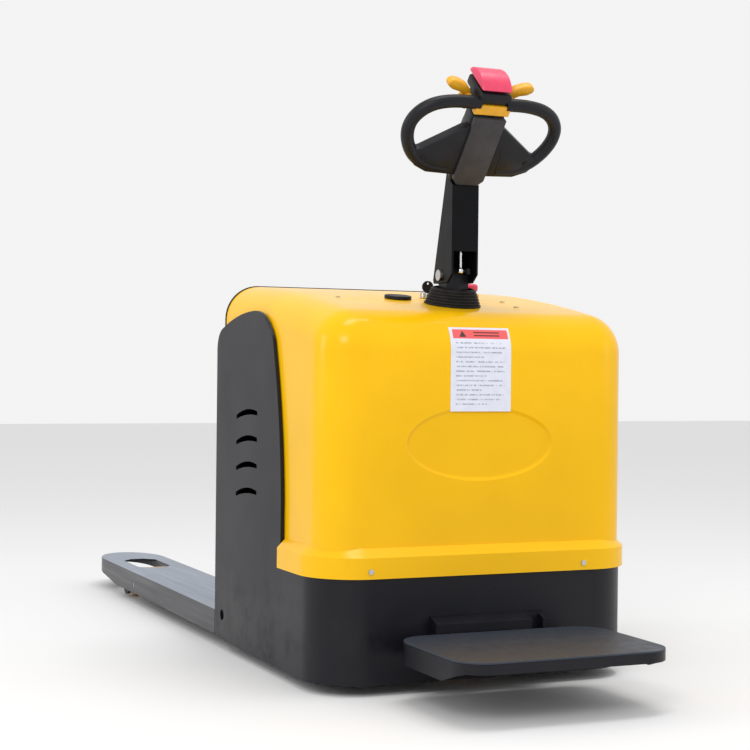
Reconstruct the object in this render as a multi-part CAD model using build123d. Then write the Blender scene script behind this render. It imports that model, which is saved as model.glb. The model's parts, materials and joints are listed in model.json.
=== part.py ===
from build123d import *
import os
from math import asin, atan2, cos, degrees, hypot, radians, sin

# Electric pallet truck with a folding rider pedal, forks lowered, tiller upright.
# X across the truck, Y from the pedal to the fork tips, Z up from the floor, in millimetres.
# Lengths along Y are counted from the rear face of the skirt. Each piece is moved on saving,
# so that the origin lies on the floor under the middle of the whole truck.

# ---------------------------------------------------------------- driving dimensions
fit = 0.05                  # radial running clearance
seat = 0.3                  # gap between pieces that rest on one another

body_width = 740.0          # outside of the side plates
skirt_bottom = 22.0         # clearance under the skirt
skirt_top = 265.7
skirt_corner = 110.0        # rear corner radius of the skirt in plan
plate = 8.0                 # steel of the skirt and the side plates
plate_rear = 239.0          # rear edge of the side plates above the skirt
plate_front = 682.0         # forward edge of the side plates
plate_crest_y = 423.0       # highest point of the side plates
plate_crest_z = 790.0
plate_front_z = 700.0       # where the forward edge starts to round over
toe_rise = 9.0              # step up of the lower edge, ahead of toe_y
toe_y = 606.0

hood_wall = 4.0
hood_rear = 12.0            # rear face of the hood
hood_front = 645.0
hood_base = skirt_top + seat
hood_side_gap = 2.0         # between the hood and the side plates
hood_face_top = 700.0       # where the rear face starts to lean forward
hood_rear_radius = 90.0
hood_edge_radius = 80.0
slope_rear = 11.0           # slope of the top behind and in front, degrees
slope_front = 2.5
lip_bottom = skirt_top - 26.9
lip_top = skirt_top + 34.3
lip_band = 43.0             # upright part of the lip, below its bevel
lip_out = 8.7               # how far the lip stands out from the skirt
lip_gap = 0.7
panel_thick = 6.0

fork_width = 185.2
fork_top = 87.0
fork_depth = 58.0
fork_wall = 6.0
fork_tip = 1890.0
fork_tip_length = 150.0     # length of the rounded tip
fork_seam = 0.8             # gap ahead of the side plates
lift_height = 115.0

roller_radius = 40.0
roller_width = 110.0
roller_y = 1560.0
rocker_y = 1415.0
rocker_z = 52.0

pedal_width = 464.0
pedal_top = 126.0
pedal_front = -362.0
pedal_back = -42.0
pedal_hinge_y = pedal_back - 8.0
pedal_hinge_z = pedal_top - 14.0

steer_y = 175.0             # steering axis, drive wheel and boot
wheel_radius = 115.0
wheel_width = 75.0
deck_top = 250.0            # deck that carries the drive unit
deck_thick = 10.0
tilt_y = 170.0              # tiller pivot
tilt_z = 868.0
arm_half = 32.0             # half width of the tiller arm
arm_wall = 5.0
head_lean = 41.4            # lean of the tiller head towards the operator, degrees

side = body_width / 2
rear_end = pedal_front
middle_y = (fork_tip + rear_end) / 2


# ---------------------------------------------------------------- helpers
def save(name, *pieces):
    """Write one node, moved so that the origin is under the middle of the truck."""
    solids = [s for p in pieces for s in p.solids()]
    moved = [Pos(0, -middle_y, 0) * s for s in solids]
    export_step(moved[0] if len(moved) == 1 else Compound(children=moved), f"parts/{name}.step")


def block(x0, x1, y0, y1, z0, z1):
    """A box between two corners."""
    return Pos((x0 + x1) / 2, (y0 + y1) / 2, (z0 + z1) / 2) * Box(x1 - x0, y1 - y0, z1 - z0)


def drum(radius, height, x, y, z, axis=Axis.Z):
    """A cylinder that starts at a point and runs along an axis."""
    return Plane(origin=(x, y, z), z_dir=axis.direction) * Cylinder(
        radius, height, align=(Align.CENTER, Align.CENTER, Align.MIN))


def tube(outer, inner, height, x, y, z, axis=Axis.Z):
    """A ring or sleeve along an axis."""
    return drum(outer, height, x, y, z, axis) - drum(inner, height, x, y, z, axis)


def side_prism(edges, x0, x1):
    """A prism along X from a closed outline in Y and Z."""
    return Pos(x0, 0, 0) * extrude(Plane.YZ * make_face(edges), x1 - x0)


def polygon(*points):
    """The edges of a closed polygon."""
    return Polyline(*points, close=True).edges()


def both(shape):
    """A shape and its mirror image on the other side of the truck."""
    return [shape, mirror(shape, Plane.YZ)]


def along(shape, direction):
    """The edges of a shape that run along an axis."""
    return shape.edges().filter_by(direction)


# ---------------------------------------------------------------- body outline
def plan_block(offset, front, z0, z1):
    """Plan of the skirt, grown by an offset, with its two rounded rear corners."""
    half = side + offset
    body = block(-half, half, -offset, front, z0, z1)
    rear = along(body, Axis.Z).group_by(Axis.Y)[0]
    return fillet(rear, skirt_corner + offset)


def hood_arc():
    """Radius and centre of the long curve along the top of the hood."""
    a, b = radians(slope_rear), radians(slope_front)
    centre_y = hood_rear + hood_rear_radius
    run = hood_front - (centre_y - hood_rear_radius * sin(a))
    radius = run / (sin(a) - sin(b))
    beyond = radius - hood_rear_radius
    return radius, centre_y + beyond * sin(a), hood_face_top - beyond * cos(a)


def hood_side(inset):
    """Side outline of the hood: rear face, big rear curve and the long top curve."""
    rear, radius = hood_rear + inset, hood_rear_radius - inset
    centre_y = hood_rear + hood_rear_radius
    a, b = radians(slope_rear), radians(slope_front)
    end = (centre_y - radius * sin(a), hood_face_top + radius * cos(a))
    mid = (centre_y - radius * cos(radians(45 - slope_rear / 2)),
           hood_face_top + radius * sin(radians(45 - slope_rear / 2)))
    top_radius, top_y, top_z = hood_arc()
    reach = top_radius - inset
    c = (a + b) / 2
    top_mid = (top_y - reach * sin(c), top_z + reach * cos(c))
    top_end = (top_y - reach * sin(b), top_z + reach * cos(b))
    foot = hood_base - inset
    return [Line((rear, foot), (rear, hood_face_top)),
            ThreePointArc((rear, hood_face_top), mid, end),
            ThreePointArc(end, top_mid, top_end),
            Line(top_end, (top_end[0], foot)), Line((top_end[0], foot), (rear, foot))]


def hood_block(inset):
    """The hood as a filled shape, smaller by an inset."""
    half = side - plate - hood_side_gap - inset
    body = side_prism(hood_side(inset), -half, half)
    outer = [e for e in body.edges() if abs(abs(e.center().X) - half) < 0.01
             and e.center().Y < hood_front - 1 and e.center().Z > hood_base + 1]
    return fillet(outer, hood_edge_radius - inset)


def hood_height(y):
    """Height of the hood's middle at a place on its top."""
    top_radius, top_y, top_z = hood_arc()
    lean = asin((top_y - y) / top_radius)
    return top_z + top_radius * cos(lean), lean


def on_hood(x, y, lift=0.0):
    """A frame on the hood's top, with Z square to the surface."""
    z, lean = hood_height(y)
    up = (0, -sin(lean), cos(lean))
    return Plane(origin=(x, y + up[1] * lift, z + up[2] * lift), x_dir=(1, 0, 0), z_dir=up)


# ---------------------------------------------------------------- chassis
battery_floor = 108.0
floor_thick = 8.0
crossmember_y = 300.0
crossmember_thick = 6.0
link_y = 628.0              # lower link pin in the side plates
link_z = 81.0
link_radius = 12.5
slew_bore = 92.0            # hole in the deck for the drive unit
caster_x = 250.0
caster_y = 200.0
caster_radius = 37.5
caster_trail = 25.0
caster_plate = 112.0        # underside of the caster posts


def side_plate_outline():
    """Side plate: a long curved rear edge, a domed top and a straight forward edge."""
    low = skirt_bottom
    return [Line((skirt_corner, low), (toe_y, low)),
            Line((toe_y, low), (toe_y + toe_rise, low + toe_rise)),
            Line((toe_y + toe_rise, low + toe_rise), (plate_front, low + toe_rise)),
            Line((plate_front, low + toe_rise), (plate_front, plate_front_z)),
            ThreePointArc((plate_front, plate_front_z), (672.0, 735.0), (640.0, 755.0)),
            ThreePointArc((640.0, 755.0), (535.0, 780.0), (plate_crest_y, plate_crest_z)),
            ThreePointArc((plate_crest_y, plate_crest_z), (353.4, 772.8), (300.0, 725.0)),
            ThreePointArc((300.0, 725.0), (260.0, 570.0), (plate_rear, 380.0)),
            Line((plate_rear, 380.0), (plate_rear, skirt_top)),
            Line((plate_rear, skirt_top), (skirt_corner, skirt_top)),
            Line((skirt_corner, skirt_top), (skirt_corner, low))]


louvre_y = 465.5            # middle of the ventilation slots in the side plates
louvre_z = 555.4            # middle of the chord of the top slot
louvre_pitch = 58.9
louvre_length = 141.0
louvre_drop = 12.0          # fall of a slot from its rear end to its front end
louvre_end = 9.0            # height of a slot at its ends
louvre_arch = (1.0, 13.5)   # rise of its lower and upper edge above the chord
louvre_count = 4


def louvre(z):
    """A curved ventilation slot in the left side plate."""
    half, drop, end = louvre_length / 2, louvre_drop / 2, louvre_end / 2
    low_arch, high_arch = louvre_arch
    low = ThreePointArc((louvre_y - half, z + drop - end), (louvre_y, z + low_arch),
                        (louvre_y + half, z - drop - end))
    high = ThreePointArc((louvre_y - half, z + drop + end), (louvre_y, z + high_arch),
                         (louvre_y + half, z - drop + end))
    edges = [low, high, Line(low @ 0, high @ 0), Line(low @ 1, high @ 1)]
    return side_prism(edges, -side - 1, -side + plate + 1)


def chassis_frame():
    """Skirt, side plates, deck, floor and caster posts, welded into one piece."""
    inner = plan_block(-plate, plate_front + 1, skirt_bottom - 1, skirt_top + 1)
    frame = plan_block(0, plate_front - 1, skirt_bottom, skirt_top) - inner
    frame -= block(-side - 1, side + 1, skirt_corner, plate_front + 1, 0, skirt_top + 1)
    for x0 in (-side, side - plate):
        frame += side_prism(side_plate_outline(), x0, x0 + plate)
    inside = side - plate
    deck = plan_block(-plate, crossmember_y + crossmember_thick, deck_top - deck_thick, deck_top)
    deck -= drum(slew_bore, deck_thick, 0, steer_y, deck_top - deck_thick)
    frame += deck
    frame += block(-inside, inside, crossmember_y, crossmember_y + crossmember_thick,
                   battery_floor - floor_thick, deck_top)
    frame += block(-inside, inside, crossmember_y, hood_front + panel_thick,
                   battery_floor - floor_thick, battery_floor)
    for x in (-caster_x, caster_x):
        frame += block(x - 32, x + 32, caster_y - 32, caster_y + 32, caster_plate, deck_top - deck_thick)
    for x in (-side - 1, side - plate - 1):
        frame -= drum(link_radius, plate + 2, x, link_y, link_z, Axis.X)
    for i in range(louvre_count):
        for slot in both(louvre(louvre_z - i * louvre_pitch)):
            frame -= slot
    return frame


def front_panel():
    """Steel panel that closes the hood towards the forks."""
    top = hood_height(hood_front)[0] + hood_side_gap
    half = side - plate - seat
    low = panel_bottom
    y0 = hood_front + seat
    panel = block(-half, half, y0, y0 + panel_thick, low, top)
    corners = along(panel, Axis.Y).group_by(Axis.Z)[-1]
    return fillet(corners, hood_edge_radius)


# ---------------------------------------------------------------- hood and its fittings
badge_x = -10.0             # shallow oval pocket in the rear face
badge_z = 510.0
badge_half_width = 164.0
badge_half_height = 71.0
badge_depth = 4.0
badge_slope = 7.0           # how far the wall of the pocket leans in
boot_hole = 50.0
lip_screw_z = skirt_top - 11.7
lip_screw_x = (-267.0, 228.0)
top_screws = ((-235.0, 262.0), (163.0, 250.0), (150.0, 160.0))
gauge_x, gauge_y, gauge_radius, gauge_height = -93.0, 258.0, 30.0, 8.0
key_x, key_y = -6.0, 292.0
stop_x, stop_y = 106.0, 300.0
card_x, card_width, card_length, card_thick = -12.0, 141.0, 178.0, 0.6
card_bend = 35.0            # how far the card follows the rear curve, degrees
boot_rings, boot_height, boot_foot, boot_crown = 6, 37.0, 62.0, 50.0
boot_wall, boot_groove = 3.0, 4.5


def oval(grow, y):
    """An upright oval in the hood's rear face, at a place along Y."""
    return Pos(badge_x, y, badge_z) * (Plane.XZ * Ellipse(badge_half_width + grow, badge_half_height + grow))


def hood():
    """Moulded cover with a wide lip round the skirt and a shallow oval pocket."""
    lip = plan_block(lip_out, plate_rear - 3, lip_bottom, lip_top)
    rim = [e for e in lip.edges() if e.center().Z > lip_top - 0.01 and e.center().Y < plate_rear - 4]
    lip = chamfer(rim, lip_top - lip_bottom - lip_band)
    lip -= plan_block(lip_gap, plate_rear + 9, lip_bottom - 1, skirt_top + seat)
    shell = hood_block(0) + lip
    cavity = hood_block(hood_wall) + block(-side + 40, side - 40, 100, hood_front + 9,
                                           hood_base - 20, hood_base + 100)
    thick = badge_depth + hood_wall
    pocket_back = extrude(oval(thick, hood_rear), amount=-thick)
    shell -= cavity - pocket_back
    shell -= block(-side, side, hood_front, hood_front + 20, 0, 1000)
    shell -= loft([oval(0, hood_rear + badge_depth), oval(badge_slope, hood_rear)])
    boot_cut = on_hood(0, steer_y) * Cylinder(boot_hole, 60)
    shell -= boot_cut
    for x in lip_screw_x:
        shell -= drum(3.2, 12, x, -lip_out - 1, lip_screw_z, Axis.Y)
    for x, y in top_screws:
        shell -= on_hood(x, y) * Cylinder(3.2, 20)
    shell -= on_hood(key_x, key_y) * Cylinder(9 + fit, 30)
    shell -= on_hood(stop_x, stop_y) * Cylinder(11 + fit, 30)
    shell -= on_hood(gauge_x, gauge_y) * Cylinder(12 + fit, 30)
    return shell


def pan_screw(radius, head, length):
    """A pan head screw along Z, its head above the origin."""
    cap = Cylinder(radius * 1.9, head, align=(Align.CENTER, Align.CENTER, Align.MIN))
    cap -= Pos(0, 0, head) * Box(radius * 2.4, 1.0, 1.4)
    shank = Cylinder(radius, length, align=(Align.CENTER, Align.CENTER, Align.MAX))
    return cap + shank


def hood_screws():
    """Two screws in the lip and three in the top."""
    screws = []
    for x in lip_screw_x:
        place = Plane(origin=(x, -lip_out, lip_screw_z), x_dir=(1, 0, 0), z_dir=(0, -1, 0))
        screws.append(place * pan_screw(3.0, 2.5, lip_out - lip_gap - 0.2))
    for x, y in top_screws:
        screws.append(on_hood(x, y) * pan_screw(3.0, 2.2, 12.0))
    return screws


def instruction_card():
    """Thin card on the rear face, following the start of the rear curve."""
    outer, inner = hood_rear - card_thick, hood_rear
    low = hood_face_top - (card_length - radians(card_bend) * hood_rear_radius)
    centre = hood_rear + hood_rear_radius

    def strip(radius, face):
        half, full = radians(card_bend / 2), radians(card_bend)
        mid = (centre - radius * cos(half), hood_face_top + radius * sin(half))
        end = (centre - radius * cos(full), hood_face_top + radius * sin(full))
        return Line((face, low), (face, hood_face_top)), ThreePointArc((face, hood_face_top), mid, end)

    l1, a1 = strip(hood_rear_radius + card_thick, outer)
    l2, a2 = strip(hood_rear_radius, inner)
    edges = [l1, a1, Line(a1 @ 1, a2 @ 1), a2, l2, Line(l1 @ 0, l2 @ 0)]
    return side_prism(edges, card_x - card_width / 2, card_x + card_width / 2)


def charge_gauge():
    """Round battery gauge with a stem through the hood."""
    disc = on_hood(gauge_x, gauge_y, seat) * Cylinder(
        gauge_radius, gauge_height, align=(Align.CENTER, Align.CENTER, Align.MIN))
    disc = fillet(disc.edges().sort_by(Axis.Z)[-1:], 2.0)
    return disc + on_hood(gauge_x, gauge_y, seat) * Pos(0, 0, -16) * Cylinder(12, 33)


def key_switch():
    """Key switch: a collar on the hood and a barrel through it."""
    low = Cylinder(16, 12, align=(Align.CENTER, Align.CENTER, Align.MIN))
    barrel = Pos(0, 0, -28) * Cylinder(9, 30, align=(Align.CENTER, Align.CENTER, Align.MIN))
    bore = Pos(0, 0, -8) * Cylinder(5.0, 30, align=(Align.CENTER, Align.CENTER, Align.MIN))
    return on_hood(key_x, key_y, seat) * (low + barrel - bore)


def ignition_key():
    """Key with a round bow, standing in the switch."""
    shank = Pos(0, 0, -6) * Cylinder(5.0 - fit, 22, align=(Align.CENTER, Align.CENTER, Align.MIN))
    bow = Pos(0, 0, 26) * Rot(90, 0, 0) * Cylinder(13, 5)
    bow -= Pos(0, 0, 33) * Rot(90, 0, 0) * Cylinder(3, 9)
    return on_hood(key_x, key_y, seat) * (shank + bow)


def stop_base():
    """Yellow collar and barrel of the emergency stop."""
    low = Cylinder(20, 12, align=(Align.CENTER, Align.CENTER, Align.MIN))
    barrel = Pos(0, 0, -30) * Cylinder(11, 31, align=(Align.CENTER, Align.CENTER, Align.MIN))
    bore = Pos(0, 0, -20) * Cylinder(7.0, 40, align=(Align.CENTER, Align.CENTER, Align.MIN))
    return on_hood(stop_x, stop_y, seat) * (low + barrel - bore)


def stop_knob():
    """Mushroom knob of the emergency stop."""
    stem = Pos(0, 0, -12) * Cylinder(7.0 - fit, 34, align=(Align.CENTER, Align.CENTER, Align.MIN))
    cap = Pos(0, 0, 20) * Cylinder(16.5, 15, align=(Align.CENTER, Align.CENTER, Align.MIN))
    cap = fillet(cap.edges().sort_by(Axis.Z)[-1:], 6.0)
    return on_hood(stop_x, stop_y, seat) * (stem + cap)


def tiller_boot():
    """Rubber bellows between the hood and the tiller, in flat rings."""
    outline = [(boot_foot - boot_groove - boot_wall, 0)]
    step = boot_height / boot_rings
    for i in range(boot_rings):
        r = boot_foot + (boot_crown - boot_foot) * i / (boot_rings - 1)
        outline += [(r, i * step), (r, i * step + step * 0.62), (r - boot_groove, (i + 1) * step)]
    outline += [(boot_crown - boot_groove - boot_wall, boot_height)]
    body = revolve(Plane.XZ * make_face(polygon(*outline)), Axis.Z)
    return on_hood(0, steer_y, seat) * body


# ---------------------------------------------------------------- energy, control and hydraulics
def battery_tray():
    """Open steel tray for the cells."""
    half, wall = 300.0, 3.0
    y0, y1 = 322.0, 560.0
    z0, z1 = battery_floor + seat, 520.0
    return block(-half, half, y0, y1, z0, z1) - block(-half + wall, half - wall, y0 + wall,
                                                      y1 - wall, z0 + wall, z1 + 1)


def battery_cells():
    """Twelve two volt cells in two rows, each with its terminal posts."""
    cells = []
    for i in range(6):
        for j in range(2):
            x0, y0 = -296.4 + i * 98.8, 325.6 + j * 115.4
            cell = block(x0, x0 + 98.2, y0, y0 + 114.8, battery_floor + 3.6, 495.0)
            cell += drum(8, 14, x0 + 49, y0 + 28, 495.0) + drum(8, 14, x0 + 49, y0 + 88, 495.0)
            cells.append(cell)
    return cells


def motor_controller():
    """Finned controller on the deck."""
    x0, x1, y0, y1, z0 = 150.0, 300.0, 100.0, 280.0, deck_top + seat
    body = block(x0, x1, y0, y1, z0, z0 + 50)
    for i in range(9):
        body += block(x0 + 6 + i * 16.6, x0 + 10 + i * 16.6, y0, y1, z0 + 50, z0 + 78)
    return body


pump_x, pump_y, pump_radius = -172.0, 175.0, 48.0
valve_half = 46.0


def pump_motor():
    """Pump motor, upright on the deck, over its valve block."""
    body = block(pump_x - valve_half, pump_x + valve_half, pump_y - valve_half, pump_y + valve_half,
                 deck_top + seat, deck_top + 60)
    body += drum(pump_radius, 130, pump_x, pump_y, deck_top + 60)
    return body + drum(pump_radius - 8, 14, pump_x, pump_y, deck_top + 190)


def hydraulic_tank():
    """Moulded oil tank with a filler cap."""
    tank = block(-345, -222, 110, 290, deck_top + seat, deck_top + 150)
    tank = fillet(along(tank, Axis.Z), 14)
    return tank + drum(18, 16, -283, 250, deck_top + 150)


cylinder_y = 612.0
barrel_radius = 35.0
rod_radius = 18.0
shelf_z = 418.0
barrel_top = 300.0
port_z = 145.0


def lift_cylinder():
    """Lift cylinder barrel on the floor of the chassis, with its oil port."""
    port = cylinder_y - barrel_radius
    barrel = drum(barrel_radius, barrel_top - battery_floor - seat, 0, cylinder_y, battery_floor + seat)
    barrel += block(-20, 20, port - 16, cylinder_y, port_z - 15, port_z + 15)
    return barrel - drum(rod_radius + fit, barrel_top, 0, cylinder_y, battery_floor + 40)


def lift_rod():
    """Chromed rod that pushes the fork carriage up."""
    low = battery_floor + 45
    return drum(rod_radius, shelf_z - low, 0, cylinder_y, low)


def hydraulic_hose():
    """Hose from the valve block, round the battery, to the lift cylinder."""
    high, wall = deck_top + 30, -331.0
    back, front = crossmember_y + 12, cylinder_y - barrel_radius - 7
    path = FilletPolyline((pump_x, pump_y + valve_half, high), (pump_x, back, high), (wall, back, high),
                          (wall, front, high), (wall, front, port_z), (-20, front, port_z), radius=30)
    return sweep(Plane(path @ 0, z_dir=path % 0) * Circle(7), path=path)


# ---------------------------------------------------------------- pedal
bracket_half = 130.0
bracket_out = 32.0
bracket_low = 88.0
pedal_skin = 4.0
mat_thick = 4.0
pedal_flange = 47.0         # depth of the tray at its sides
pedal_nose = 23.5           # depth of the tray at its front
pedal_corner = 65.0
pin_radius = 6.0
lug_radius = 9.5
lug_x, knuckle_x = 105.0, 91.0
lug_thick = 12.0


def pedal_bracket():
    """Hinge bracket on the skirt, with a sloping top and two lugs."""
    front, y, z = -bracket_out, pedal_hinge_y, pedal_hinge_z
    outline = polygon((-seat, bracket_low), (-seat, 157), (front, 144), (front, bracket_low))
    body = side_prism(outline, -bracket_half, bracket_half)
    body -= block(bracket_half - 38, bracket_half - 12, front - 1, -10, 118, 170)
    neck = polygon((y - 7, z - 6), (y + 6, z - 8), (y + 12, z - 14), (front + 1, z - 14),
                   (front + 1, bracket_low), (y + 4, bracket_low))
    for x0 in (-lug_x - lug_thick / 2, lug_x - lug_thick / 2):
        lug = drum(lug_radius, lug_thick, x0, y, z, Axis.X) + side_prism(neck, x0, x0 + lug_thick)
        body += lug - drum(pin_radius + fit, lug_thick + 2, x0 - 1, y, z, Axis.X)
    return body


def pedal_pin():
    """Hinge pin of the pedal."""
    return drum(pin_radius, 236, -118, pedal_hinge_y, pedal_hinge_z, Axis.X)


def pedal_bumpers():
    """Two rubber pads that the lowered pedal rests on."""
    pad = block(45, 75, pedal_back + seat, -bracket_out, bracket_low + 1, bracket_low + 15)
    return both(pad)


def pedal_plan(inset, z0, z1):
    """Plan of the pedal with rounded corners."""
    half = pedal_width / 2 - inset
    body = block(-half, half, pedal_front + inset, pedal_back - inset, z0, z1)
    return fillet(along(body, Axis.Z), pedal_corner - inset)


def pedal_tray():
    """Pressed tray, deep at its sides and shallow in front, with two hinge knuckles."""
    top = pedal_top - mat_thick
    body = pedal_plan(0, pedal_top - pedal_flange, top)
    body -= pedal_plan(pedal_skin, 0, top - pedal_skin)
    low, nose = pedal_top - pedal_flange, pedal_top - pedal_nose
    start, stop = pedal_front + 100, pedal_front + 27
    cut = polygon((start, low - 1), (start, low), (stop, nose), (pedal_front - 1, nose),
                  (pedal_front - 1, low - 1))
    body -= side_prism(cut, -side, side)
    for x in (-knuckle_x, knuckle_x):
        knuckle = drum(lug_radius, lug_thick, x - lug_thick / 2, pedal_hinge_y, pedal_hinge_z, Axis.X)
        body += knuckle + block(x - lug_thick / 2, x + lug_thick / 2, pedal_hinge_y - 30, pedal_hinge_y,
                                pedal_hinge_z - 8, top - 1)
    gap = knuckle_x + lug_thick / 2 + 0.5
    rear = block(gap, bracket_half + 2, pedal_back - pedal_skin - 0.5, pedal_back + 1, low - 1,
                 top - pedal_skin)
    slot = block(gap, lug_x + lug_thick / 2 + 0.5, pedal_hinge_y - 13, pedal_back + 1, low - 1, top + 1)
    for cut in both(rear) + both(slot):
        body -= cut
    return body - drum(pin_radius + fit, 240, -120, pedal_hinge_y, pedal_hinge_z, Axis.X)


def pedal_mat():
    """Rubber mat bonded on the tray."""
    return pedal_plan(0, pedal_top - mat_thick, pedal_top)


# ---------------------------------------------------------------- drive unit and steering
ring_radius = 110.0         # steering bearing: outside, between its races and bore
ring_split = 94.0
ring_bore = 60.0
axle_radius = 18.0
ring_height = 22.0
motor_radius = 78.0
motor_high = 520.0
yoke_radius = 106.0
column_radius = 24.0
clevis_half = 26.7
tilt_pin = 7.0


def slew_ring_outer():
    """Fixed race of the steering bearing."""
    return tube(ring_radius, ring_split + fit, ring_height, 0, steer_y, deck_top + seat)


def slew_ring_inner():
    """Turning race of the steering bearing."""
    return tube(ring_split, ring_bore, ring_height, 0, steer_y, deck_top + seat)


def gearbox():
    """Cast gearbox that hangs from the bearing beside the wheel."""
    x0 = -wheel_width / 2 - 58
    neck = slew_bore - 4
    body = drum(58, 54, x0, steer_y, wheel_radius, Axis.X)
    body += block(x0, x0 + 54, steer_y - 52, steer_y + 52, wheel_radius, deck_top - 4)
    body &= drum(neck, deck_top, 0, steer_y, 0)
    body -= drum(axle_radius + fit, 60, x0 + 30, steer_y, wheel_radius, Axis.X)
    return body + drum(neck, 6, 0, steer_y, deck_top - 6)


def drive_motor():
    """Upright drive motor on the bearing, with its terminal box."""
    low = deck_top + ring_height + 2 * seat
    body = drum(ring_bore - 4, ring_height + 1, 0, steer_y, deck_top + seat)
    body += drum(motor_radius, motor_high - low, 0, steer_y, low)
    return body + block(-30, 30, steer_y - motor_radius - 12, steer_y - motor_radius + 20, 400, 470)


def magnetic_brake():
    """Spring applied brake on top of the motor."""
    return drum(58, 34, 0, steer_y, motor_high) + drum(30, 8, 0, steer_y, motor_high + 34)


def drive_hub():
    """Hub of the drive wheel with its stub axle."""
    x0 = -wheel_width / 2
    hub = tube(84, 20, 14, -7, steer_y, wheel_radius, Axis.X)
    hub += tube(84, 76, wheel_width, x0, steer_y, wheel_radius, Axis.X)
    hub += tube(34, 20, wheel_width - 6, x0, steer_y, wheel_radius, Axis.X)
    hub += drum(axle_radius, 60, x0 - 27, steer_y, wheel_radius, Axis.X)
    return hub + drum(20, 20, x0, steer_y, wheel_radius, Axis.X)


def drive_tyre():
    """Solid tyre of the drive wheel."""
    tyre = tube(wheel_radius, 84, wheel_width, -wheel_width / 2, steer_y, wheel_radius, Axis.X)
    rim = [e for e in tyre.edges().filter_by(GeomType.CIRCLE) if e.radius > wheel_radius - 1]
    return fillet(rim, 5)


def wheel_nuts():
    """Five nuts on the hub."""
    nuts = []
    for i in range(5):
        a = radians(72 * i + 18)
        y, z = steer_y + 55 * cos(a), wheel_radius + 55 * sin(a)
        nuts.append(Plane(origin=(7, y, z), z_dir=(1, 0, 0)) * extrude(RegularPolygon(11, 6), 10))
    return nuts


def steering_column():
    """Yoke over the motor, with a column up through the boot and a clevis for the tiller."""
    roof = motor_high + 46
    base = deck_top + ring_height + 2 * seat
    straps = tube(yoke_radius, yoke_radius - 10, roof - base + 8, 0, steer_y, base)
    straps &= block(-200, 200, steer_y - 30, steer_y + 30, 0, 1000)
    feet = tube(yoke_radius, 82, 8, 0, steer_y, base) & block(-200, 200, steer_y - 30, steer_y + 30, 0, 900)
    roof_plate = drum(yoke_radius, 8, 0, steer_y, roof) & block(-200, 200, steer_y - 30, steer_y + 30, 0, 900)
    column = drum(column_radius, tilt_z - 28 - roof, 0, steer_y, roof)
    clevis = block(-clevis_half, clevis_half, 152, 190, tilt_z - 30, tilt_z + 14)
    ear = block(12, 20, 130, 153, tilt_z + 2, tilt_z + 14) + drum(4, 9, 3.2, 138, tilt_z + 9, Axis.X)
    body = straps + feet + roof_plate + column + clevis + ear
    return body - drum(tilt_pin + fit, 80, -40, tilt_y, tilt_z, Axis.X)


def tiller_pin():
    """Pivot pin of the tiller, with a collar at each end."""
    pin = drum(tilt_pin, 2 * arm_half + 6, -arm_half - 3, tilt_y, tilt_z, Axis.X)
    for x in (-arm_half - 6.3, arm_half + 0.3):
        pin += drum(12, 6, x, tilt_y, tilt_z, Axis.X)
    return pin


# ---------------------------------------------------------------- tiller arm and head
head_plane = Plane(origin=(0, 115, 1060), x_dir=(1, 0, 0),
                   z_dir=(0, -cos(radians(head_lean)), -sin(radians(head_lean))))
grip_centre = 95.0          # centre of each round end of the handle
grip_rise = 117.0
grip_radius = 92.0
grip_bore = 59.0
grip_thick = 30.0
grip_middle = 15.0
hub_half = 40.0
nose_low = 197.0
nose_high = 222.0
band_low = 174.0
throttle_rise = 193.0
throttle_depth = 48.0
button_places = ((-20.0, 120.0), (20.0, 120.0), (0.0, 150.0))   # on the upper face of the head


def head_prism(face, t0, t1):
    """A prism square to the head, between two depths below its lower face."""
    return head_plane * Pos(0, 0, -t1) * extrude(face, t1 - t0)


def head_block(x0, x1, s0, s1, t0, t1):
    """A box in the head's own directions: across, along its lean and into its depth."""
    return head_plane * block(x0, x1, s0, s1, -t1, -t0)


def head_drum(radius, x0, x1, s, t):
    """A cylinder across the head."""
    return head_plane * drum(radius, x1 - x0, x0, s, -t, Axis.X)


def arm_outline(inset):
    """Side of the tiller arm: upright behind, tapering in front, with a cut lower corner."""
    return polygon((116 + inset, 1140), (116 + inset, 868), (138 + inset, 851), (205 - inset, 851),
                   (207 - inset, 858), (131.5 - inset, 1140))


def tiller_arm():
    """Hollow tiller arm, open below and low down behind."""
    arm = side_prism(arm_outline(0), -arm_half, arm_half)
    inner = side_prism(arm_outline(arm_wall), -arm_half + arm_wall, arm_half - arm_wall)
    arm -= inner
    arm -= block(-arm_half + arm_wall, arm_half - arm_wall, 100, 205 - arm_wall, 840, 860)
    arm -= block(-arm_half + arm_wall, arm_half - arm_wall, 100, 140, 840, 918)
    arm -= head_block(-60, 60, 0, 200, -80, 200)
    arm += block(-arm_half + 1, arm_half - 1, 122, 158, 1016, 1024) & side_prism(
        arm_outline(1), -arm_half, arm_half)
    return arm - drum(tilt_pin + fit, 80, -40, tilt_y, tilt_z, Axis.X)


def gas_spring_rod():
    """Chromed rod of the gas spring with its ball socket."""
    y, z = 138.0, tilt_z + 9
    socket = Pos(0, y, z) * Sphere(8) - drum(4 + fit, 20, 0, y, z, Axis.X)
    return socket + drum(4, 72, 0, y, z + 7)


def gas_spring_tube():
    """Cylinder of the gas spring."""
    y, z = 138.0, tilt_z + 9
    return tube(9, 4 + fit, 70, 0, y, z + 42) + drum(9, 8, 0, y, z + 112)


def handle_half():
    """Opening on the right side of the handle."""
    a, b = (47, 138), (133, 77)
    c, d = (105, 175), (47, 179)
    return make_face([Line(a, b), ThreePointArc(b, (grip_centre + grip_bore - 2, 124), c),
                      Line(c, d), Line(d, a)])


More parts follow.
